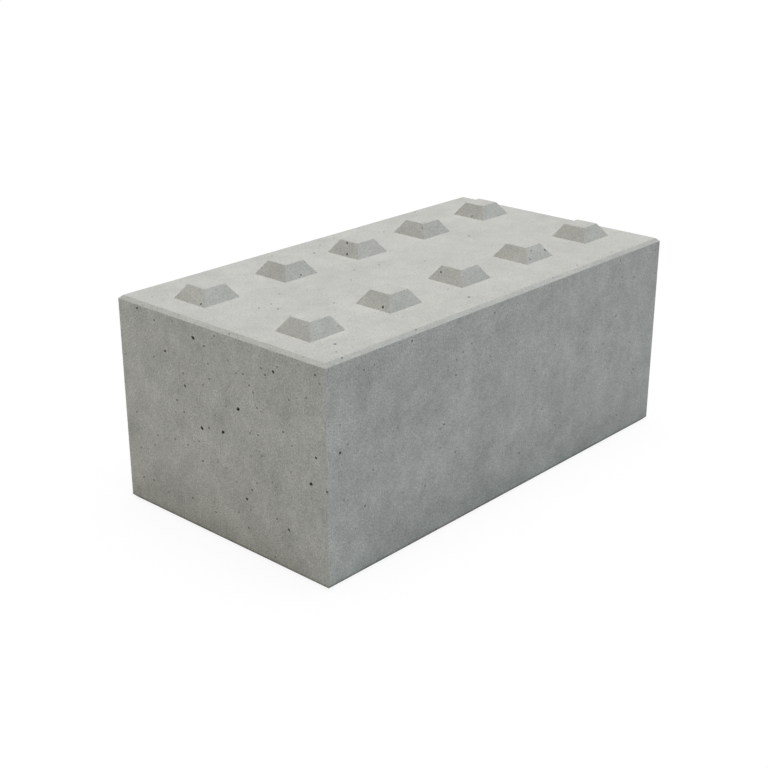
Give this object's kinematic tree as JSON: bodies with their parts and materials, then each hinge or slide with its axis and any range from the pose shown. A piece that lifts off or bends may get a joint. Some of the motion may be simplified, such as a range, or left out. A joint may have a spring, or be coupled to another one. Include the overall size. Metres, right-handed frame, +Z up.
{
  "type": "interlocking concrete block",
  "caption": "Large solid cast-concrete stacking block with chamfered edges, rows of tapered pyramid studs on top and matching pockets underneath, for dry-laid walls and ballast.",
  "frame": {"origin": "middle of the underside, on the plane the block stands on", "axes": "+X along the block's length, +Y across its width, +Z up towards the studs"},
  "size_m": [1.5, 0.8, 0.66],
  "materials": {
    "concrete": "matt grey cast concrete with fine grain, soft mottling and small air holes"
  },
  "bodies": {
    "root": {"concrete_block": "concrete"}
  },
  "joints": []
}
